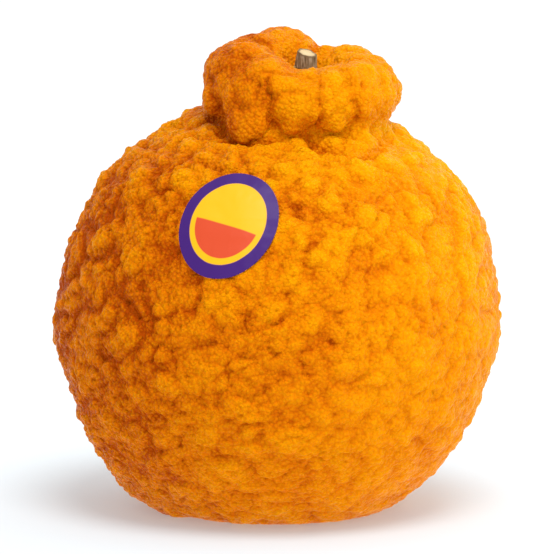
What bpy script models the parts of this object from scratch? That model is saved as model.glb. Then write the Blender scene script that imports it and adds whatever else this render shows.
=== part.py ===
"""A fresh knobbed mandarin resting on its blossom end: the fruit, calyx, cut stem stub and a plain label.

Metres, +Z up. The front is -Y. The origin is the middle of the bounding box's bottom, on the resting flat.
Azimuths are in degrees round the fruit, from 0 at the front to 90 at the right. Heights are above the flat.
"""

import math

import bmesh
import bpy
from mathutils import Matrix, Vector, noise
from mathutils.bvhtree import BVHTree

# Body of the fruit: two superellipses that share their widest level
BODY_RADIUS = 0.0475
WIDEST_HEIGHT = 0.0402
SHOULDER_RISE = 0.0480
LOWER_FULLNESS = 2.05
UPPER_FULLNESS = 2.05
HEEL_RADIUS = 0.0245
HEEL_RISE = 0.0005
FLAT_RADIUS = 0.0155
NAVEL_RADIUS = 0.0042
NAVEL_DEPTH = 0.0012

# Knob on top: a thick ring round the stem, off centre, leaning to the right and forward
NECK_RADIUS = 0.0194
NECK_REACH = 0.0300
RING_RADIUS = 0.0124
RING_HALF_WIDTH = 0.0086
RING_HALF_HEIGHT = 0.0082
RING_HEIGHT = 0.0912
RING_UNDERSIDE_FULLNESS = 0.75
RING_FIRST_ANGLE = math.radians(-50.0)
RING_LAST_ANGLE = math.radians(163.0)
KNOB_SHIFT = Vector((0.0052, 0.0, 0.0))
KNOB_LEAN_RIGHT = math.radians(5.5)
KNOB_LEAN_FORWARD = math.radians(10.0)

# Lobes of the knob: azimuth where each begins, depth of the crease there, swell of the lobe
KNOB_LOBES = (
    (-55, 0.0012, 0.0000),
    (-19, 0.0022, -0.0022),
    (11, 0.0011, -0.0022),
    (37, 0.0008, -0.0006),
    (70, 0.0009, -0.0006),
    (104, 0.0010, -0.0014),
    (140, 0.0014, -0.0030),
    (177, 0.0020, 0.0006),
    (222, 0.0011, 0.0002),
    (262, 0.0010, 0.0004),
)
LOBE_SQUARENESS = 3.4

# Broad swells and hollows of the body: azimuth, height, rise, reach
BODY_SWELLS = (
    (-90, 0.085, -0.0008, 0.008),
    (78, 0.082, -0.0012, 0.007),
    (38, 0.082, 0.0026, 0.008),
    (90, 0.066, 0.0008, 0.018),
    (90, 0.018, -0.0012, 0.012),
    (-88, 0.062, -0.0008, 0.012),
    (-90, 0.022, -0.0012, 0.012),
    (-78, 0.004, 0.0022, 0.014),
    (-62, 0.048, -0.0009, 0.009),
    (15, 0.055, 0.0006, 0.016),
    (150, 0.050, 0.0009, 0.022),
    (205, 0.030, -0.0008, 0.016),
    (180, 0.072, -0.0007, 0.014),
)
LUMP_SIZE = 0.0140
LUMP_HEIGHT = 0.0010

# Mesh of the fruit
STEPS_ROUND = 84
LOWER_RINGS = 12
UPPER_RINGS = 14
KNOB_RINGS = 15

# Calyx, the five-lobed button in the knob's hollow
CALYX_RADIUS = 0.0031
CALYX_LOBE_REACH = 0.0007
CALYX_THICKNESS = 0.0011
CALYX_SIDES = 40
CALYX_LOBES = 5

# Woody stub of the stem, cut aslant
STEM_RADIUS = 0.00205
STEM_FOOT_RADIUS = 0.0024
STEM_LENGTH = 0.0030
STEM_SIDES = 28
CUT_SLOPE = math.radians(11.0)
CUT_AZIMUTH = math.radians(60.0)

# Oval label on the upper left of the front
LABEL_WIDTH = 0.0204
LABEL_LENGTH = 0.0238
LABEL_THICKNESS = 0.0003
LABEL_AZIMUTH = math.radians(-14.3)
LABEL_HEIGHT = 0.0663
LABEL_TURN = math.radians(15.5)
LABEL_RINGS = 6
LABEL_SIDES = 40

CLEARANCE = 0.0003


def clear_scene():
    for item in list(bpy.data.objects):
        bpy.data.objects.remove(item, do_unlink=True)


def make_material(name, colour, roughness):
    material = bpy.data.materials.new(name)
    material.use_nodes = True
    shader = material.node_tree.nodes["Principled BSDF"]
    shader.inputs["Base Color"].default_value = (*colour, 1.0)
    shader.inputs["Roughness"].default_value = roughness
    shader.inputs["Metallic"].default_value = 0.0
    return material


def make_object(name, shape, material):
    mesh = bpy.data.meshes.new(name)
    bmesh.ops.recalc_face_normals(shape, faces=shape.faces)
    shape.to_mesh(mesh)
    shape.free()
    mesh.materials.append(material)
    mesh.shade_smooth()
    made = bpy.data.objects.new(name, mesh)
    bpy.context.scene.collection.objects.link(made)
    return made


def smooth_step(value):
    value = min(1.0, max(0.0, value))
    return value * value * (3.0 - 2.0 * value)


def heading(azimuth):
    """The level direction at an azimuth in radians."""
    return Vector((math.sin(azimuth), -math.cos(azimuth), 0.0))


def lower_reach():
    """How far below the widest level the lower superellipse would end without the cut at its heel."""
    share = (HEEL_RADIUS / BODY_RADIUS) ** LOWER_FULLNESS
    return (WIDEST_HEIGHT - HEEL_RISE) / (1.0 - share) ** (1.0 / LOWER_FULLNESS)


def body_radius_at(height):
    """Radius of the plain turned body at a height."""
    if height < WIDEST_HEIGHT:
        reach = (WIDEST_HEIGHT - height) / lower_reach()
        fullness = LOWER_FULLNESS
    else:
        reach = (height - WIDEST_HEIGHT) / SHOULDER_RISE
        fullness = UPPER_FULLNESS
    return BODY_RADIUS * (1.0 - min(1.0, reach) ** fullness) ** (1.0 / fullness)


def shoulder_height_at(radius):
    """Height of the plain turned body's upper half at a radius."""
    share = (radius / BODY_RADIUS) ** UPPER_FULLNESS
    return WIDEST_HEIGHT + SHOULDER_RISE * (1.0 - share) ** (1.0 / UPPER_FULLNESS)


def body_point(azimuth, height):
    """A point of the plain turned body, from an azimuth in radians and a height."""
    return heading(azimuth) * body_radius_at(height) + Vector((0.0, 0.0, height))


def body_profile():
    """(radius, height) from the navel under the fruit, out over the flat and up to the crease of the neck."""
    points = [
        (0.0, NAVEL_DEPTH),
        (0.5 * NAVEL_RADIUS, 0.7 * NAVEL_DEPTH),
        (NAVEL_RADIUS, 0.0),
        (0.5 * (NAVEL_RADIUS + FLAT_RADIUS), 0.0),
        (FLAT_RADIUS, 0.0),
        (0.5 * (FLAT_RADIUS + HEEL_RADIUS), 0.3 * HEEL_RISE),
        (HEEL_RADIUS, HEEL_RISE),
    ]
    first = math.asin((HEEL_RADIUS / BODY_RADIUS) ** (LOWER_FULLNESS / 2.0))
    for ring in range(1, LOWER_RINGS + 1):
        angle = first + (math.pi / 2 - first) * ring / LOWER_RINGS
        radius = BODY_RADIUS * math.sin(angle) ** (2.0 / LOWER_FULLNESS)
        drop = lower_reach() * max(0.0, math.cos(angle)) ** (2.0 / LOWER_FULLNESS)
        points.append((radius, WIDEST_HEIGHT - drop))
    last = math.asin((NECK_RADIUS / BODY_RADIUS) ** (UPPER_FULLNESS / 2.0))
    for ring in range(1, UPPER_RINGS + 1):
        angle = math.pi / 2 - (math.pi / 2 - last) * ring / UPPER_RINGS
        radius = BODY_RADIUS * math.sin(angle) ** (2.0 / UPPER_FULLNESS)
        points.append((radius, shoulder_height_at(radius)))
    return points


def hollow_floor_height():
    return RING_HEIGHT + RING_HALF_HEIGHT * math.sin(RING_LAST_ANGLE) - 0.0002


def knob_profile():
    """(radius, height) from above the neck's crease, over the ring's crest and down to the hollow's floor."""
    points = []
    for ring in range(KNOB_RINGS):
        angle = RING_FIRST_ANGLE + (RING_LAST_ANGLE - RING_FIRST_ANGLE) * ring / (KNOB_RINGS - 1)
        across = math.cos(angle)
        if angle < 0.0:
            across = across**RING_UNDERSIDE_FULLNESS
        radius = RING_RADIUS + RING_HALF_WIDTH * across
        points.append((radius, RING_HEIGHT + RING_HALF_HEIGHT * math.sin(angle)))
    rim = points[-1][0]
    return points + [(0.5 * rim, hollow_floor_height()), (0.0, hollow_floor_height())]


def knob_relief(azimuth):
    """How far the knob stands out at an azimuth in degrees: less than nothing in a crease, more on a lobe."""
    for index, (start, depth, swell) in enumerate(KNOB_LOBES):
        end, end_depth, _ = KNOB_LOBES[(index + 1) % len(KNOB_LOBES)]
        along = ((azimuth - start) % 360) / ((end - start) % 360)
        if along < 1.0:
            dome = 1.0 - abs(2.0 * along - 1.0) ** LOBE_SQUARENESS
            crease = depth + (end_depth - depth) * smooth_step(along)
            return swell * dome - crease * (1.0 - dome)
    return 0.0


def shape_knob_point(point):
    """Moves a point of the plain ring out or in along the ring's section, by its lobe and by small lumps."""
    level = Vector((point.x, point.y, 0.0))
    azimuth = math.atan2(point.x, -point.y)
    away = point - heading(azimuth) * RING_RADIUS - Vector((0.0, 0.0, RING_HEIGHT))
    away.normalize()
    outer = 0.5 + 0.5 * smooth_step(0.5 + 0.7 * away.dot(heading(azimuth)))
    share = smooth_step(level.length / RING_RADIUS) * outer
    lump = LUMP_HEIGHT * noise.noise(point / (0.6 * LUMP_SIZE))
    return point + away * share * (knob_relief(math.degrees(azimuth)) + lump)


def shape_body_point(point):
    """Moves a point of the plain body out or in by the broad swells and the lumps. The flat stays flat."""
    rise = LUMP_HEIGHT * noise.noise(point / LUMP_SIZE)
    for azimuth, height, swell, reach in BODY_SWELLS:
        centre = body_point(math.radians(azimuth), height)
        rise += swell * math.exp(-(((point - centre).length / reach) ** 2))
    above_flat = smooth_step((point.z - 0.5 * HEEL_RISE) / 0.005)
    from_label = (point - body_point(LABEL_AZIMUTH, LABEL_HEIGHT)).length / (0.6 * LABEL_LENGTH)
    beside_label = 1.0 - 0.85 * math.exp(-(from_label**4))
    away = point - Vector((0.0, 0.0, WIDEST_HEIGHT))
    return point + away.normalized() * rise * above_flat * beside_label


def lean_with_knob(point):
    """Carries a point to where the shifted, leaning knob takes it. The pull fades out over the shoulder."""
    neck = Vector((0.0, 0.0, shoulder_height_at(NECK_RADIUS)))
    first = shoulder_height_at(NECK_REACH)
    share = smooth_step((point.z - first) / (neck.z - first))
    lean = Matrix.Rotation(KNOB_LEAN_RIGHT, 3, "Y") @ Matrix.Rotation(KNOB_LEAN_FORWARD, 3, "X")
    leaned = lean @ (point - neck) + neck + KNOB_SHIFT
    return point.lerp(leaned, share)


def make_fruit():
    shape = bmesh.new()
    profile = body_profile() + knob_profile()
    row = [shape.verts.new((0.0, -radius, height)) for radius, height in profile]
    edges = [shape.edges.new(pair) for pair in zip(row, row[1:])]
    bmesh.ops.spin(
        shape,
        geom=row + edges,
        axis=(0, 0, 1),
        cent=(0, 0, 0),
        angle=math.tau,
        steps=STEPS_ROUND,
        use_merge=True,
    )
    bmesh.ops.remove_doubles(shape, verts=shape.verts, dist=1e-5)
    neck_height = shoulder_height_at(NECK_RADIUS) + 1e-5
    for vert in shape.verts:
        if vert.co.z > neck_height:
            point = shape_knob_point(vert.co)
        else:
            point = shape_body_point(vert.co)
        vert.co = lean_with_knob(point)
    return make_object("fruit", shape, make_material("rind", (0.86, 0.29, 0.012), 0.42))


def make_calyx():
    """A thin button with five blunt lobes and a slightly domed top."""
    shape = bmesh.new()
    floor = hollow_floor_height() + CLEARANCE
    rings = []
    for size, height in ((0.35, 0.0), (1.0, 0.15), (0.96, 0.6), (0.62, 1.0)):
        ring = []
        for side in range(CALYX_SIDES):
            angle = math.tau * side / CALYX_SIDES
            reach = CALYX_RADIUS + CALYX_LOBE_REACH * math.cos(CALYX_LOBES * angle)
            point = heading(angle) * reach * size
            point.z = floor + CALYX_THICKNESS * height
            ring.append(shape.verts.new(lean_with_knob(point)))
        rings.append(ring)
    for lower, upper in zip(rings, rings[1:]):
        for side in range(CALYX_SIDES):
            after = (side + 1) % CALYX_SIDES
            shape.faces.new((lower[side], lower[after], upper[after], upper[side]))
    shape.faces.new(rings[0][::-1])
    shape.faces.new(rings[-1])
    return make_object("calyx", shape, make_material("dry_calyx", (0.30, 0.20, 0.08), 0.7))


def make_stem():
    """A stub that flares at its foot, cut across at a slope."""
    shape = bmesh.new()
    foot = hollow_floor_height() + CALYX_THICKNESS + 2.0 * CLEARANCE
    bmesh.ops.create_cone(
        shape,
        cap_ends=True,
        segments=STEM_SIDES,
        radius1=STEM_FOOT_RADIUS,
        radius2=STEM_RADIUS,
        depth=STEM_LENGTH,
        matrix=Matrix.Translation((0.0, 0.0, foot + 0.5 * STEM_LENGTH)),
    )
    for vert in shape.verts:
        if vert.co.z > foot + 0.5 * STEM_LENGTH:
            vert.co.z -= math.tan(CUT_SLOPE) * vert.co.dot(heading(CUT_AZIMUTH))
        vert.co = lean_with_knob(vert.co)
    made = make_object("stem_stub", shape, make_material("stem_wood", (0.19, 0.13, 0.07), 0.8))
    made.data.set_sharp_from_angle(angle=math.radians(40.0))
    return made


def make_label(fruit):
    """A thin oval sheet laid on the fruit: each of its points is cast straight down on the surface."""
    middle = body_point(LABEL_AZIMUTH, LABEL_HEIGHT)
    upward = body_point(LABEL_AZIMUTH, LABEL_HEIGHT + 0.001) - body_point(LABEL_AZIMUTH, LABEL_HEIGHT - 0.001)
    upward.normalize()
    normal = heading(LABEL_AZIMUTH + math.pi / 2).cross(upward)
    upward.rotate(Matrix.Rotation(-LABEL_TURN, 3, normal))
    across = upward.cross(normal)
    corners = [vert.co for vert in fruit.data.vertices]
    surface = BVHTree.FromPolygons(corners, [face.vertices for face in fruit.data.polygons])
    shape = bmesh.new()
    sheets = []
    for lift in (CLEARANCE, CLEARANCE + LABEL_THICKNESS):
        rings = []
        for ring in range(LABEL_RINGS + 1):
            size = ring / LABEL_RINGS
            points = []
            for side in range(LABEL_SIDES if ring else 1):
                angle = math.tau * side / LABEL_SIDES
                reach = across * LABEL_WIDTH * math.cos(angle) + upward * LABEL_LENGTH * math.sin(angle)
                hit = surface.ray_cast(middle + normal * 0.01 + reach * 0.5 * size, -normal)[0]
                points.append(shape.verts.new(hit + normal * lift))
            rings.append(points)
        sheets.append(rings)
        for side in range(LABEL_SIDES):
            after = (side + 1) % LABEL_SIDES
            shape.faces.new((rings[0][0], rings[1][side], rings[1][after]))
            for inner, outer in zip(rings[1:], rings[2:]):
                shape.faces.new((inner[side], outer[side], outer[after], inner[after]))
    for side in range(LABEL_SIDES):
        after = (side + 1) % LABEL_SIDES
        lower, upper = sheets[0][-1], sheets[1][-1]
        shape.faces.new((lower[side], lower[after], upper[after], upper[side]))
    made = make_object("label", shape, make_material("label_film", (0.07, 0.01, 0.19), 0.4))
    made.data.set_sharp_from_angle(angle=math.radians(40.0))
    return made


def stand_on_origin(pieces):
    """Moves all the pieces together so that the middle of their box's bottom is at the origin."""
    corners = [vert.co for piece in pieces for vert in piece.data.vertices]
    middle_x = 0.5 * (min(c.x for c in corners) + max(c.x for c in corners))
    middle_y = 0.5 * (min(c.y for c in corners) + max(c.y for c in corners))
    lowest = min(c.z for c in corners)
    for piece in pieces:
        piece.location = (-middle_x, -middle_y, -lowest)


def main():
    clear_scene()
    fruit = make_fruit()
    stand_on_origin([fruit, make_calyx(), make_stem(), make_label(fruit)])


main()
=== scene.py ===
import math

import bpy
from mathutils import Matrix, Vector, noise
from mathutils.bvhtree import BVHTree
from mathutils.kdtree import KDTree


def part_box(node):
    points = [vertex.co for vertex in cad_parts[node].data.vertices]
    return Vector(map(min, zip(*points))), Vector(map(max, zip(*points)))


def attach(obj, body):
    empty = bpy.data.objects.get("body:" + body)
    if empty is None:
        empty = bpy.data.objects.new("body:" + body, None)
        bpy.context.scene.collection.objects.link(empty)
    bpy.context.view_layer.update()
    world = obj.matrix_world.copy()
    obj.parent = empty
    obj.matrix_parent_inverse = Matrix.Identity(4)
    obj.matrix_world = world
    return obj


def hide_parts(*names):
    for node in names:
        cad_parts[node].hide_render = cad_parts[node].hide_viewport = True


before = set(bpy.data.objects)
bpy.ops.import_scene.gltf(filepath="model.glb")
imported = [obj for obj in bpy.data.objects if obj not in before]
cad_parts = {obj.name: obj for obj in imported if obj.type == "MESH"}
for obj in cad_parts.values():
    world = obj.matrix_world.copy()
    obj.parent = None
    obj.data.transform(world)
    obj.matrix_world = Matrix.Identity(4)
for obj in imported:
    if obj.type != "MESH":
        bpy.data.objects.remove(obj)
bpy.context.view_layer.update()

scene = bpy.context.scene


# Fruit: one whole mandarin with its knob. The rind is thick, loose and oily, pushed up into pillows and
# pebbles by the pith under it, with creases between them. It grew as one piece, so it is one closed skin.

calyx_low, calyx_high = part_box("calyx")
HOLLOW_FLOOR = (Vector(calyx_low) + Vector(calyx_high)) / 2

RIND_GRAIN = 0.00071          # spacing of the skin's mesh
GROWTH_SEED = 7               # every fruit is different: this one grows from this number

# Relief of the rind, from the broad pillows down to the pebbles: size, height, and where its pattern starts
PILLOW = (0.0088, 0.00096, Vector((3.1, 7.7, 1.3)))
CELL = (0.0054, 0.00082, Vector((4.2, 1.1, 6.9)))
LUMP = (0.0034, 0.00056, Vector((9.2, 2.4, 5.5)))
PEBBLE = (0.0019, 0.00044, Vector((1.7, 8.3, 4.4)))
MID_HEIGHT = 0.6              # the plain skin's level, as a share of a bump's height
PLEAT_DEPTH = 0.0009          # of the folds that run down the shoulder
PLEATS = 2.6                  # how closely they follow one another round the stem
PLEAT_START = Vector((0.4, 2.2, 7.1))

# Where on the fruit the relief changes: pairs run from none of it to all of it
KNOB_RISE = (0.0810, 0.0860)  # heights over which the body turns into the knob
KNOB_MIDDLE = 0.005           # how far the knob leans to the right
KNOB_REACH = 0.026            # nothing of the knob is further from its middle
LOBE_HEM = (0.0817, 0.0832)   # the lobes hang down to here, clear of the neck
STEM_HOLLOW = (0.0085, 0.0045)    # distances from the hollow's floor, where the skin is calm
RESTING_FLAT = (0.0, 0.0016)  # heights under which the fruit has been pressed flat
RIGHT_SIDE = (-0.002, 0.038)
LOWER_HALF = (0.052, 0.030)
UPPER_HALF = (0.052, 0.072)
SHOULDER = (0.062, 0.076)
LABEL_EDGE = (1.14, 1.0)      # shares of the label's half size, within which no bump lifts it

FADE_OUT = 2.4                # a crease has died away at this many half widths
CREASE_STEP = 0.0004          # distance between the presses that make a crease
CREASE_WANDER = 0.0011        # how far a crease strays from its line
# creases get painted shade, darkest at this depth
FULLY_SHADED_CREASE = 0.0022       # a crease this deep has the darkest colour

# Swells over the plain shape: place in millimetres, rise, reach, and how far it droops
SWELLS = (
    # the knob's lobes, hanging over the neck
    ((-9, -16, 84.2), 2.8, 3.2, 0.9),
    ((-5, -18, 84.4), 2.6, 3.2, 0.9),
    ((3, -18, 84.6), 1.7, 3.0, 0.9),
    ((12, -17, 84.6), 1.2, 3.0, 0.6),
    ((-14, -8, 87.5), 1.1, 3.4, 0.3),
    # the knob's front rim and its back left crest
    ((5, -13, 96.5), -1.2, 4.5, 0.0),
    ((3, 9, 101), -0.5, 3.5, 0.0),
    ((-13, 0, 97), 0.9, 4.0, 0.0),
    # the sides of the shoulder, the middle and the foot
    ((-22, 0, 81), -1.0, 5.0, 0.0),
    ((20, 0, 81), 0.7, 4.0, 0.0),
    ((46, 0, 53), 0.6, 8.0, 0.0),
    ((40, 0, 22), -1.0, 13.0, 0.0),
    ((-37, 0, 15), -1.3, 9.0, 0.0),
    ((-23, -10, 1), 1.2, 4.5, 0.0),
)

# Creases grown into the rind: places, depth and half width, all in millimetres
CREASES = (
    # the fold under the knob, deepest on the left of the front
    (((-15, 1, 86), (-14, -3, 85), (-12, -13, 82.5), (-11, -16, 81.5)), 2.6, 1.1),
    (((-12, -13, 82), (-11, -16, 81), (-8, -19, 80), (-5, -20, 80), (-2, -20, 81), (3, -18, 82)), 3.0, 1.1),
    (((0, -18, 82.4), (6, -18, 81.6), (9, -20, 80.5), (14, -23, 78.7), (17, -25, 78)), 2.4, 1.1),
    (((14, -23, 78.7), (17, -25, 78), (19, -21, 78.5), (21, -18, 79), (24, -1, 81)), 1.8, 1.1),
    # between and across the knob's lobes
    (((-2, -18, 96), (-2, -19, 93), (-1, -19, 90), (-2, -19, 87), (-1, -18, 83), (-1, -19, 81)), 1.9, 0.7),
    (((9, -16, 96), (9, -18, 93), (9, -20, 90), (9, -20, 87), (9, -19, 84), (9, -18, 81)), 1.9, 0.7),
    (((-5, -18, 95), (-4.6, -19, 92), (-5, -19, 88)), 0.9, 0.6),
    (((-3, -19, 90), (1, -19, 91.2), (4, -20, 91.2), (8, -19, 91.2)), 0.8, 0.6),
    (((-10, -16, 88.6), (-5, -19, 88.4), (0, -19, 89.4)), 0.7, 0.7),
    (((15, -18, 90), (16, -17, 88), (16, -17, 85), (17, -16, 83)), 1.1, 0.8),
    (((17, -14, 95), (18, -15, 93), (18, -16, 90)), 0.8, 0.7),
    (((-14, -6, 95), (-14, -9, 92), (-13, -11, 88), (-12, -9, 84)), 1.2, 0.7),
    (((-12, -12, 90), (-12, -11, 86), (-12, -13, 83)), 1.0, 0.8),
    (((-8, 6, 101), (-4, 0, 101), (-1, -1, 99), (2, -3, 96)), 1.1, 1.0),
    (((-9, -9, 99), (-4, -13, 98), (0, -11, 98)), 0.7, 0.9),
    (((9, 12, 98), (8, 8, 99), (7, 4, 96)), 1.4, 1.0),
    (((12, -9, 96), (15, -5, 97), (19, -5, 97)), 0.8, 0.9),
    # down the shoulder from the knob
    (((5, -30, 77), (4, -37, 71), (4, -42, 64)), 1.2, 1.1),
    (((9, -31, 76), (10, -36, 71)), 0.7, 0.9),
    (((12, -32, 74), (15, -39, 66)), 0.7, 0.9),
    (((-17, -19, 80), (-20, -24, 77), (-24, -24, 75)), 1.0, 1.1),
    (((-22, -24, 76), (-24, -31, 69), (-29, -28, 66)), 0.8, 1.0),
    (((-31, -24, 69), (-33, -28, 61)), 0.8, 1.0),
    # lower on the body
    (((-10, -46, 41), (-10, -46, 36), (-10, -46, 31)), 0.8, 0.5),
    (((-16, -45, 38), (-10, -46, 38), (-7, -47, 40), (-3, -47, 38)), 0.8, 0.6),
    (((-32, -34, 50), (-29, -38, 46), (-26, -40, 42)), 1.3, 0.9),
    (((-39, -26, 37), (-35, -32, 37), (-32, -36, 34)), 1.3, 0.9),
    (((-5, -46, 29), (-2, -46, 30), (2, -46, 31)), 0.7, 0.6),
    (((-9, -44, 25), (-5, -45, 25), (-1, -45, 26)), 0.7, 0.6),
    (((-29, -35, 26), (-26, -37, 25), (-22, -39, 25)), 0.8, 0.8),
    (((-27, -31, 17), (-20, -37, 18)), 0.7, 0.8),
    (((-15, -39, 18), (-6, -42, 18)), 0.7, 0.8),
    (((29, -33, 23), (38, -21, 20)), 0.7, 0.7),
    (((27, -34, 21), (31, -28, 18), (33, -21, 14)), 0.9, 1.0),
    (((9, -46, 48), (8, -47, 45), (11, -47, 42), (14, -46, 43)), 0.8, 0.6),
)


def deselect_all():
    if bpy.context.object and bpy.context.object.mode != "OBJECT":
        bpy.ops.object.mode_set(mode="OBJECT")
    bpy.ops.object.select_all(action="DESELECT")


def pick(piece):
    """Selects one piece alone and makes it the active one."""
    deselect_all()
    piece.select_set(True)
    bpy.context.view_layer.objects.active = piece


def copy_of_node(node, name):
    """A piece of its own that starts as the CAD node's shape, with its loose triangles merged."""
    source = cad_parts[node]
    piece = bpy.data.objects.new(name, source.data.copy())
    scene.collection.objects.link(piece)
    piece.matrix_world = source.matrix_world
    pick(piece)
    bpy.ops.object.transform_apply(location=True, rotation=True, scale=True)
    piece.data.materials.clear()
    bpy.ops.object.mode_set(mode="EDIT")
    bpy.ops.mesh.select_all(action="SELECT")
    bpy.ops.mesh.remove_doubles(threshold=0.000001)
    bpy.ops.mesh.customdata_custom_splitnormals_clear()
    bpy.ops.object.mode_set(mode="OBJECT")
    return piece


def subdivide(cuts, smoothness=0.0):
    """Cuts every edge of the active piece into shorter ones."""
    bpy.ops.object.mode_set(mode="EDIT")
    bpy.ops.mesh.select_all(action="SELECT")
    bpy.ops.mesh.subdivide(number_cuts=cuts, smoothness=smoothness)
    bpy.ops.object.mode_set(mode="OBJECT")


def ease(low, high, value):
    """A smooth step from 0 at low to 1 at high."""
    share = min(1.0, max(0.0, (value - low) / (high - low)))
    return share * share * (3.0 - 2.0 * share)


def puffs(place, size, start):
    """0 in the creases and nearly 1 on the rounded tops between them."""
    return math.tanh(abs(noise.noise(place / size + start)) * 3.0)


def domes(place, size, start):
    """Rounded cells packed side by side: 1 on their tops, 0 where they meet."""
    reach, _ = noise.voronoi(place / size + start)
    return max(0.0, 1.0 - (reach[0] / max(reach[1], 1e-6)) ** 2.5)


def label_frame():
    """Middle, across, up and outward directions and the two half sizes of the label, from its CAD node."""
    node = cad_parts["label"]
    spots = [node.matrix_world @ v.co for v in node.data.vertices]
    middle = sum(spots, Vector()) / len(spots)
    tip = max(spots, key=lambda spot: (spot - middle).length)
    up = (tip - middle).normalized()
    if up.z < 0.0:
        up = -up
    square_on = 0.12
    beside = [spot for spot in spots if abs((spot - middle).normalized().dot(up)) < square_on]
    edge = max(beside, key=lambda spot: (spot - middle).length)
    out = (edge - middle).cross(up).normalized()
    if out.y > 0.0:
        out = -out
    across = up.cross(out)
    return middle, across, up, out, abs((edge - middle).dot(across)), abs((tip - middle).dot(up))


LABEL = label_frame()
LABEL_DEPTH = 0.006           # skin further than this behind or before the label isn't under it
FAR_FROM_LABEL = 9.0


def label_reach(place):
    """0 at the label's middle and 1 on its edge, or far more away from it."""
    middle, across, up, out, half_width, half_length = LABEL
    away = place - middle
    if abs(away.dot(out)) > LABEL_DEPTH:
        return FAR_FROM_LABEL
    return math.hypot(away.dot(across) / half_width, away.dot(up) / half_length)


fruit = copy_of_node("fruit", "mandarin_fruit")
subdivide(2, smoothness=1.0)
fruit.data.remesh_voxel_size = RIND_GRAIN
fruit.data.remesh_voxel_adaptivity = 0.0
bpy.ops.object.voxel_remesh()

# The smoothing takes off the steps of the even mesh and the corners of the plain shape
even = fruit.modifiers.new("even", "SMOOTH")
even.factor = 0.5
even.iterations = 13
bpy.ops.object.modifier_apply(modifier="even")

noise.seed_set(GROWTH_SEED)   # without it, noise_vector gives other numbers every time
skin = fruit.data
rest = [v.co.copy() for v in skin.vertices]
way = [v.normal.copy() for v in skin.vertices]
skin_tree = BVHTree.FromPolygons(rest, [tuple(p.vertices) for p in skin.polygons])
skin_points = KDTree(len(rest))
for number, place in enumerate(rest):
    skin_points.insert(place, number)
skin_points.balance()
pull = [0.0] * len(rest)          # how far creases press each point in
push = [Vector() for _ in rest]   # where swells carry it
for place, height, reach, droop in SWELLS:
    place, height, reach = Vector(place) / 1000, height / 1000, reach / 1000
    for spot, number, gap in skin_points.find_range(place, reach * 2.2):
        swell = height * math.exp(-((gap / reach) ** 2))
        if droop:
            swell *= ease(*LOBE_HEM, spot.z)
        push[number] += swell * (way[number] - Vector((0.0, 0.0, droop)))


def press_crease(points, depth, half_width):
    """Presses one wandering crease along its points. It fades out at both ends and wavers in depth."""
    stations = []
    for start, end in zip(points, points[1:]):
        start, end = Vector(start) / 1000, Vector(end) / 1000
        steps = max(2, round((end - start).length / CREASE_STEP))
        for step in range(steps):
            stations.append(skin_tree.find_nearest(start.lerp(end, step / steps))[0])
    nearest = {}
    for count, station in enumerate(stations):
        along = count / len(stations)
        fade = ease(0.0, 0.3, along) * ease(0.0, 0.3, 1.0 - along)
        fade *= 0.75 + 0.6 * noise.noise(station / 0.003)
        wander = noise.noise_vector(station / 0.0035) * CREASE_WANDER
        for place, number, gap in skin_points.find_range(station + wander, half_width * FADE_OUT):
            press = fade * math.exp(-((gap / half_width) ** 2))
            nearest[number] = max(nearest.get(number, 0.0), press)
    for number, press in nearest.items():
        pull[number] = max(pull[number], press * depth)


for points, depth, half_width in CREASES:
    press_crease(points, depth / 1000, half_width / 1000)


def level_of(height):
    """Height stretched so that the pattern lies flatter, in wrinkles, on the lower half."""
    return height + 0.35 * min(height, 0.050)


def strength_of_growth(right, height):
    """The relief is weaker towards the right and the foot, and stronger towards the shoulder."""
    low, high = ease(*LOWER_HALF, height), ease(*UPPER_HALF, height)
    return (1.0 - 0.22 * right) * (1.0 - 0.34 * low) * (1.0 + 0.24 * high)


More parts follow.
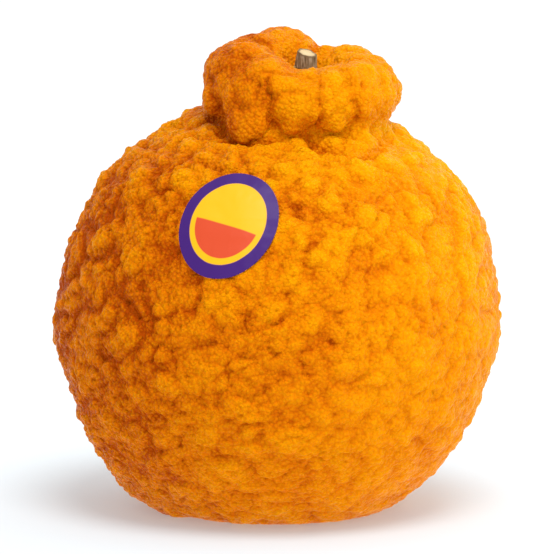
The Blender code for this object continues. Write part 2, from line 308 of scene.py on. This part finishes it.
painted_shades = []
for number, place in enumerate(rest):
    height = place.z
    around = math.hypot(place.x, place.y)
    on_knob = math.hypot(place.x - KNOB_MIDDLE, place.y) < KNOB_REACH
    knob = ease(*KNOB_RISE, height) if on_knob else 0.0
    hole = ease(*STEM_HOLLOW, (place - HOLLOW_FLOOR).length)
    flat = ease(*RESTING_FLAT, height)
    right = ease(*RIGHT_SIDE, place.x)
    vigour = strength_of_growth(right, height)

    # bumps of four sizes, on places that drift a little so that no two are alike
    drift = noise.noise_vector(place / 0.011) * 0.0026 + noise.noise_vector(place / 0.0038) * 0.0010
    p = Vector((place.x, place.y, level_of(height))) + drift
    pillow = puffs(p, PILLOW[0], PILLOW[2])
    cell = domes(p, CELL[0], CELL[2])
    lump = puffs(p, LUMP[0], LUMP[2])
    pebble = domes(place + drift * 0.3, PEBBLE[0], PEBBLE[2])

    rise = PILLOW[1] * (pillow - MID_HEIGHT) + CELL[1] * (cell - MID_HEIGHT) + LUMP[1] * (lump - MID_HEIGHT)
    rise *= vigour * (1.0 - knob * (0.62 - 0.40 * ease(0.000, 0.014, place.x)))
    rise += PEBBLE[1] * (pebble - 0.5) * (1.0 - 0.4 * right) * (1.0 - 0.3 * knob)

    # folds that run down the shoulder from the stem
    turn = math.atan2(place.x - 0.003, -place.y)
    pleat_place = Vector((math.sin(turn) * PLEATS, -math.cos(turn) * PLEATS, height / 0.040))
    pleat = puffs(pleat_place, 1.0, PLEAT_START)
    shoulder = ease(*SHOULDER, height) * (1.0 - knob) * ease(0.040, 0.030, around)
    rise += shoulder * PLEAT_DEPTH * (pleat - MID_HEIGHT) * (1.0 - 0.4 * right)

    # calm in the stem's hollow and at the foot, and no bump standing up under the label
    rise = rise * flat * (1.0 - 0.9 * hole) - pull[number] * flat
    under = ease(*LABEL_EDGE, label_reach(place))
    rise = rise * (1.0 - under) + min(rise, 0.0) * 0.7 * under
    grown = place + way[number] * rise + push[number]
    grown.z = max(0.0, grown.z)
    skin.vertices[number].co = grown

    # how deep the point lies among the bumps and in the creases, for the painted shade in the hollows
    shade_amount = (1.0 - pillow) * 0.42 + (1.0 - cell) * 0.34 + (1.0 - lump) * 0.24
    shade_amount = shade_amount * vigour * (1.0 - 0.5 * knob) + pull[number] / FULLY_SHADED_CREASE
    # less painted shade on the shoulder, least on its lit right side
    shade_amount *= 1.0 - shoulder * (0.12 + 0.30 * ease(-0.012, 0.006, place.x))
    # the knob's tone is deeper all over, and painted shade darkens its left side
    shade_amount += knob * (0.28 + 0.28 * ease(0.006, -0.012, place.x))
    painted_shades.append(min(1.0, max(0.0, shade_amount)))

skin.attributes.new("painted_shade", "FLOAT", "POINT").data.foreach_set("value", painted_shades)
pick(fruit)
bpy.ops.object.shade_smooth()


def new_material(name):
    """An empty material with its shader, ready for what its finish needs."""
    material = bpy.data.materials.new(name)
    material.use_nodes = True
    nodes = material.node_tree.nodes
    nodes.clear()
    out = nodes.new("ShaderNodeOutputMaterial")
    shader = nodes.new("ShaderNodeBsdfPrincipled")
    material.node_tree.links.new(shader.outputs["BSDF"], out.inputs["Surface"])
    return material, nodes, material.node_tree.links, shader


def paint(material, piece):
    piece.data.materials.clear()
    piece.data.materials.append(material)


def ramp(nodes, stops):
    """Colours by value: each stop is a value and the colour there."""
    node = nodes.new("ShaderNodeValToRGB")
    scale = node.color_ramp
    while len(scale.elements) < len(stops):
        scale.elements.new(0.5)
    for element, (place, colour) in zip(scale.elements, stops):
        element.position = place
        element.color = (*colour, 1.0)
    return node


def speckle(nodes, links, vector, scale, detail, roughness=0.5):
    """Soft random spots, closer together the higher the scale."""
    node = nodes.new("ShaderNodeTexNoise")
    node.inputs["Scale"].default_value = scale
    node.inputs["Detail"].default_value = detail
    node.inputs["Roughness"].default_value = roughness
    links.new(vector, node.inputs["Vector"])
    return node.outputs["Fac"]


def shifted(nodes, links, value, before, after):
    """Turns one range of a value into another."""
    node = nodes.new("ShaderNodeMapRange")
    for socket, number in zip(("From Min", "From Max", "To Min", "To Max"), (*before, *after)):
        node.inputs[socket].default_value = number
    links.new(value, node.inputs["Value"])
    return node.outputs["Result"]


def add_share(nodes, links, value, share, onto):
    """Adds a share of one value onto another."""
    node = nodes.new("ShaderNodeMath")
    node.operation = "MULTIPLY_ADD"
    node.inputs[1].default_value = share
    links.new(value, node.inputs[0])
    links.new(onto, node.inputs[2])
    return node.outputs[0]


def relief(nodes, links, shader, height, strength, distance):
    """Fine relief that is too small for the mesh."""
    node = nodes.new("ShaderNodeBump")
    node.inputs["Strength"].default_value = strength
    node.inputs["Distance"].default_value = distance
    links.new(height, node.inputs["Height"])
    links.new(node.outputs["Normal"], shader.inputs["Normal"])
    return node


rind, nodes, links, shader = new_material("rind")
on_piece = nodes.new("ShaderNodeTexCoord").outputs["Object"]
axes = nodes.new("ShaderNodeSeparateXYZ")
links.new(on_piece, axes.inputs["Vector"])
# painted shade of the hollows, creases and knob, read from the skin
painted_shade = nodes.new("ShaderNodeAttribute")
painted_shade.attribute_name = "painted_shade"
blotch = speckle(nodes, links, on_piece, 45.0, 3.0)

# Oil glands under a millimetre across, with fine pores between them
glands = nodes.new("ShaderNodeTexVoronoi")
glands.inputs["Scale"].default_value = 1250.0
links.new(on_piece, glands.inputs["Vector"])
pores = speckle(nodes, links, on_piece, 1100.0, 3.0, roughness=0.6)
gland_dip_and_glint = add_share(nodes, links, pores, 0.8, glands.outputs["Distance"])

# The colour turns from yellow-orange on the tops to red-orange in the hollows: painted shade. It is deeper
# on the left side than on the right, also painted shade, and yellower towards the stem: painted light.
# painted shade: deeper colour on the left side, away from the light
painted_side_shade = shifted(nodes, links, axes.outputs["X"], (-0.045, 0.045), (0.20, -0.13))
# painted light: yellower towards the top, where the light falls
painted_top_light = shifted(nodes, links, axes.outputs["Z"], (0.035, 0.080), (0.0, -0.28))
tone_and_painted_light = add_share(nodes, links, painted_side_shade, 1.0, painted_top_light)
# painted shade from the hollows and creases
tone_and_painted_light = add_share(nodes, links, painted_shade.outputs["Fac"], 0.70, tone_and_painted_light)
tone_and_painted_light = add_share(nodes, links, blotch, 0.35, tone_and_painted_light)
# the gland tops lighter and yellower, the pits darker: partly the glands' colour, partly painted glints
tone_and_painted_light = add_share(nodes, links, gland_dip_and_glint, 0.28, tone_and_painted_light)
tint = ramp(nodes, (
    (0.16, (0.74, 0.320, 0.002)),
    (0.36, (0.71, 0.262, 0.001)),
    (0.56, (0.66, 0.205, 0.001)),
    (0.78, (0.57, 0.138, 0.001)),
    (1.00, (0.36, 0.052, 0.001)),
))
links.new(tone_and_painted_light, tint.inputs["Fac"])
links.new(tint.outputs["Color"], shader.inputs["Base Color"])

# The glands stand out most on the left, and the oily skin has only a faint sheen of its own colour
pitting = relief(nodes, links, shader, gland_dip_and_glint, 1.0, 0.00085)
pitting.invert = True
crispness = shifted(nodes, links, axes.outputs["X"], (-0.030, 0.030), (1.0, 0.62))
links.new(crispness, pitting.inputs["Strength"])
shader.inputs["Roughness"].default_value = 0.30
shader.inputs["Specular IOR Level"].default_value = 0.02
shader.inputs["Specular Tint"].default_value = (1.0, 0.66, 0.06, 1.0)
shader.inputs["Subsurface Weight"].default_value = 0.20
shader.inputs["Subsurface Radius"].default_value = (1.0, 0.35, 0.05)
shader.inputs["Subsurface Scale"].default_value = 0.0020
paint(rind, fruit)
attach(fruit, "root")
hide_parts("fruit")


# Calyx: the button of five blunt lobes that the fruit hung from, dried to a leathery buff. It grew on the
# fruit at the bottom of the knob's hollow.

WRINKLE_DEPTH = 0.00012
WRINKLE_SIZE = 0.0007

calyx = copy_of_node("calyx", "mandarin_calyx")
subdivide(2, smoothness=0.6)
for v in calyx.data.vertices:
    v.co += v.normal * WRINKLE_DEPTH * noise.noise(v.co / WRINKLE_SIZE)
bpy.ops.object.shade_smooth()

dry_calyx, nodes, links, shader = new_material("dry_calyx")
on_piece = nodes.new("ShaderNodeTexCoord").outputs["Object"]
mottle = speckle(nodes, links, on_piece, 1100.0, 4.0)
tint = ramp(nodes, (
    (0.30, (0.20, 0.12, 0.035)),
    (0.52, (0.46, 0.33, 0.12)),
    (0.70, (0.66, 0.55, 0.26)),
))
links.new(mottle, tint.inputs["Fac"])
links.new(tint.outputs["Color"], shader.inputs["Base Color"])
relief(nodes, links, shader, mottle, 0.6, 0.0002)
shader.inputs["Roughness"].default_value = 0.75
paint(dry_calyx, calyx)
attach(calyx, "root")
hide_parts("calyx")


# Stem stub: the last millimetres of the woody stem, with ridged bark, cut across at a slope with clippers.
# The cut shows pale wood inside a thin ring of bark.

STEM_RADIUS = 0.00205
BARK_RIDGE = 0.00030          # height of the ridges along the bark
PITH_DIP = 0.00022            # the middle of the cut has shrunk in by this much
CUT_ROUGHNESS = 0.00010
CUT_SKIN = 0.00006            # what is this near the cut belongs to it

stem = copy_of_node("stem_stub", "mandarin_stem_stub")
subdivide(5)
stem_mesh = stem.data
foot = min(v.co.z for v in stem_mesh.vertices)
cut_faces = [f for f in stem_mesh.polygons if f.center.z > foot + 0.0015 and f.normal.z > 0.8]
cut_way = sum((f.normal * f.area for f in cut_faces), Vector()).normalized()
cut_level = max(f.center.dot(cut_way) for f in cut_faces)
cut_middle = sum((f.center * f.area for f in cut_faces), Vector()) / sum(f.area for f in cut_faces)
stem_way = Vector((math.sin(math.radians(5.5)), -math.sin(math.radians(10.0)), 1.0)).normalized()

# Ridges run along the bark. The cut is rough, and its middle has dried in.
on_cut = []
from_pith = []
moved = []
for v in stem_mesh.vertices:
    away = v.co - cut_middle
    away -= stem_way * away.dot(stem_way)
    turn = math.atan2(away.y, away.x)
    top = v.co.dot(cut_way) > cut_level - CUT_SKIN
    spread = min(1.0, away.length / STEM_RADIUS)
    ridge = noise.noise(Vector((math.cos(turn) * 2.6, math.sin(turn) * 2.6, v.co.z / 0.0040)))
    ridge += 0.5 * noise.noise(Vector((math.cos(turn) * 6.0, math.sin(turn) * 6.0, v.co.z / 0.0030)))
    shift = away.normalized() * BARK_RIDGE * ridge * spread
    if top:
        shift -= cut_way * (PITH_DIP * (1.0 - spread) + CUT_ROUGHNESS * noise.noise(v.co / 0.0005))
    moved.append(v.co + shift)
    on_cut.append(1.0 if top else 0.0)
    from_pith.append(spread)
for v, place in zip(stem_mesh.vertices, moved):
    v.co = place
stem_mesh.attributes.new("cut", "FLOAT", "POINT").data.foreach_set("value", on_cut)
stem_mesh.attributes.new("from_pith", "FLOAT", "POINT").data.foreach_set("value", from_pith)
pick(stem)
bpy.ops.object.shade_smooth_by_angle(angle=math.radians(35.0))

stem_wood, nodes, links, shader = new_material("stem_wood")
on_piece = nodes.new("ShaderNodeTexCoord").outputs["Object"]
along = nodes.new("ShaderNodeMapping")
along.inputs["Scale"].default_value = (1.0, 1.0, 0.18)
links.new(on_piece, along.inputs["Vector"])
fibre = speckle(nodes, links, along.outputs["Vector"], 2200.0, 4.0)
bark = ramp(nodes, (
    (0.30, (0.060, 0.035, 0.012)),
    (0.50, (0.190, 0.130, 0.060)),
    (0.66, (0.360, 0.300, 0.200)),
))
links.new(fibre, bark.inputs["Fac"])
grit = speckle(nodes, links, on_piece, 2600.0, 3.0)
pith = nodes.new("ShaderNodeAttribute")
pith.attribute_name = "from_pith"
ring_tone = add_share(nodes, links, grit, 0.25, pith.outputs["Fac"])
wood = ramp(nodes, (
    (0.15, (0.30, 0.19, 0.08)),
    (0.30, (0.58, 0.44, 0.24)),
    (0.85, (0.50, 0.36, 0.18)),
    (1.00, (0.16, 0.10, 0.04)),
))
links.new(ring_tone, wood.inputs["Fac"])
where = nodes.new("ShaderNodeAttribute")
where.attribute_name = "cut"
blend = nodes.new("ShaderNodeMix")
blend.data_type = "RGBA"
links.new(where.outputs["Fac"], blend.inputs["Factor"])
links.new(bark.outputs["Color"], blend.inputs["A"])
links.new(wood.outputs["Color"], blend.inputs["B"])
links.new(blend.outputs["Result"], shader.inputs["Base Color"])
relief(nodes, links, shader, fibre, 0.8, 0.00025)
shader.inputs["Roughness"].default_value = 0.8
paint(stem_wood, stem)
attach(stem, "root")
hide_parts("stem_stub")


# Label: an oval of thin printed film, stuck on by hand. It is stiffer than the rind is rough, so it lies
# in one gentle curve over the tops of the bumps. Its print is a plain oval panel in a purple border.

FILM_THICKNESS = 0.00012
FILM_LIFT = 0.00030           # over the plain skin, so that it clears the bumps
FILM_TUCK = 0.00012           # its edge is pressed down by this much
LAID_FROM = 0.01              # distance in front of the skin that it is laid down from
PURPLE = (0.036, 0.005, 0.120)
YELLOW = (0.690, 0.350, 0.002)
CORAL = (0.500, 0.052, 0.014)
PRINT_EDGE = 0.012            # softness of the printed edges, as a share of the label's half size

middle, across, up, out, half_width, half_length = LABEL
deselect_all()
bpy.ops.mesh.primitive_circle_add(vertices=72, radius=1.0, fill_type="TRIFAN")
label = bpy.context.object
label.name = "mandarin_label"
subdivide(9)
film = label.data

# The flat oval is laid on the plain skin, along the label's own outward direction
flat_places = [v.co.copy() for v in film.vertices]
plain_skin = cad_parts["fruit"].data
plain_tree = BVHTree.FromPolygons(
    [v.co for v in plain_skin.vertices], [tuple(f.vertices) for f in plain_skin.polygons])
for v in film.vertices:
    reach = v.co.xy.length
    start = middle + across * v.co.x * half_width + up * v.co.y * half_length + out * LAID_FROM
    met = plain_tree.ray_cast(start, -out)[0]
    lift = FILM_LIFT - FILM_TUCK * ease(0.6, 1.0, reach)
    lift += 0.00016 * noise.noise(met / 0.0050) + 0.00005 * noise.noise(met / 0.0018)
    v.co = met + out * lift
prints = film.uv_layers.new(name="print")
for loop in film.loops:
    flat_place = flat_places[loop.vertex_index]
    prints.data[loop.index].uv = (flat_place.x, flat_place.y)
pick(label)
if film.polygons[0].normal.dot(out) < 0.0:
    bpy.ops.object.mode_set(mode="EDIT")
    bpy.ops.mesh.select_all(action="SELECT")
    bpy.ops.mesh.flip_normals()
    bpy.ops.object.mode_set(mode="OBJECT")
wall = label.modifiers.new("wall", "SOLIDIFY")
wall.thickness = FILM_THICKNESS
wall.offset = 1.0
bpy.ops.object.modifier_apply(modifier="wall")
bpy.ops.object.shade_smooth_by_angle(angle=math.radians(50.0))

label_film, nodes, links, shader = new_material("label_film")
spread = nodes.new("ShaderNodeUVMap")
spread.uv_map = "print"
reach = nodes.new("ShaderNodeVectorMath")
reach.operation = "LENGTH"
links.new(spread.outputs["UV"], reach.inputs[0])
axes = nodes.new("ShaderNodeSeparateXYZ")
links.new(spread.outputs["UV"], axes.inputs["Vector"])


def inside(value, limit):
    """1 where the value is under the limit, with a soft printed edge."""
    result = shifted(nodes, links, value, (limit + PRINT_EDGE, limit - PRINT_EDGE), (0.0, 1.0))
    result.node.interpolation_type = "SMOOTHSTEP"
    return result


def over(mask, below, above):
    """Prints one ink over another where the mask is 1. Each ink is a colour or another print."""
    node = nodes.new("ShaderNodeMix")
    node.data_type = "RGBA"
    links.new(mask, node.inputs["Factor"])
    for ink, socket in ((below, node.inputs["A"]), (above, node.inputs["B"])):
        if isinstance(ink, tuple):
            socket.default_value = (*ink, 1.0)
        else:
            links.new(ink, socket)
    return node.outputs["Result"]


def both(first, second):
    """1 where both masks are 1."""
    node = nodes.new("ShaderNodeMath")
    node.operation = "MULTIPLY"
    links.new(first, node.inputs[0])
    links.new(second, node.inputs[1])
    return node.outputs[0]


panel = inside(reach.outputs["Value"], 0.77)
lower_part = both(inside(reach.outputs["Value"], 0.66), inside(axes.outputs["Y"], -0.06))
ink = over(panel, PURPLE, YELLOW)
ink = over(lower_part, ink, CORAL)
links.new(ink, shader.inputs["Base Color"])
on_piece = nodes.new("ShaderNodeTexCoord").outputs["Object"]
ripple = speckle(nodes, links, on_piece, 420.0, 2.0)
relief(nodes, links, shader, ripple, 0.35, 0.00012)
shader.inputs["Roughness"].default_value = 0.42
shader.inputs["Specular IOR Level"].default_value = 0.2
paint(label_film, label)
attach(label, "root")
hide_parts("label")


# Floor: a plain pale sheet that the fruit stands on. It glows a little, so that it stays nearly white
# under the fruit and throws light back up into the shade.

deselect_all()
bpy.ops.mesh.primitive_plane_add(size=8.0, location=(0.0, 0.0, -0.00002))
floor = bpy.context.object
floor.name = "floor"
white, nodes, links, shader = new_material("floor_white")
shader.inputs["Base Color"].default_value = (0.450, 0.495, 0.520, 1.0)
shader.inputs["Emission Color"].default_value = (1.0, 1.0, 1.0, 1.0)
seen = nodes.new("ShaderNodeLightPath").outputs["Is Camera Ray"]
glow = shifted(nodes, links, seen, (0.0, 1.0), (0.95, 0.26))
links.new(glow, shader.inputs["Emission Strength"])
shader.inputs["Roughness"].default_value = 0.9
shader.inputs["Specular IOR Level"].default_value = 0.0
paint(white, floor)


# Light: white studio walls all round, twice as bright on the right as on the left, and a broad soft lamp
# high in front, a little to the right.

world = bpy.data.worlds.new("studio")
scene.world = world
world.use_nodes = True
walls = world.node_tree
backdrop = walls.nodes["Background"]
backdrop.inputs["Color"].default_value = (1.0, 1.0, 1.0, 1.0)
heading = walls.nodes.new("ShaderNodeTexCoord").outputs["Generated"]
split = walls.nodes.new("ShaderNodeSeparateXYZ")
walls.links.new(heading, split.inputs["Vector"])
level = shifted(walls.nodes, walls.links, split.outputs["X"], (-1.0, 1.0), (0.76, 1.58))
walls.links.new(level, backdrop.inputs["Strength"])

key_data = bpy.data.lights.new("key", "SUN")
key_data.angle = math.radians(28.0)
key_data.energy = 2.10
key = bpy.data.objects.new("key", key_data)
scene.collection.objects.link(key)
key.location = (0.13, -0.46, 1.00)
key.rotation_euler = key.location.to_track_quat("Z", "Y").to_euler()


# Camera: far off with a long lens, so that the fruit isn't stretched, and looking a little down on it.

VIEW_RISE = math.radians(8.0)
VIEW_DISTANCE = 0.9857
aim = Vector((-0.0001, 0.0, 0.04955))    # the middle of the fruit
camera_data = bpy.data.cameras.new("camera")
camera_data.lens = 300.0
camera_data.sensor_width = 36.0
camera = bpy.data.objects.new("camera", camera_data)
scene.collection.objects.link(camera)
camera.location = aim + VIEW_DISTANCE * Vector((0.0, -math.cos(VIEW_RISE), math.sin(VIEW_RISE)))
camera.rotation_euler = (math.pi / 2 - VIEW_RISE, 0.0, 0.0)
scene.camera = camera
scene.view_settings.view_transform = "Standard"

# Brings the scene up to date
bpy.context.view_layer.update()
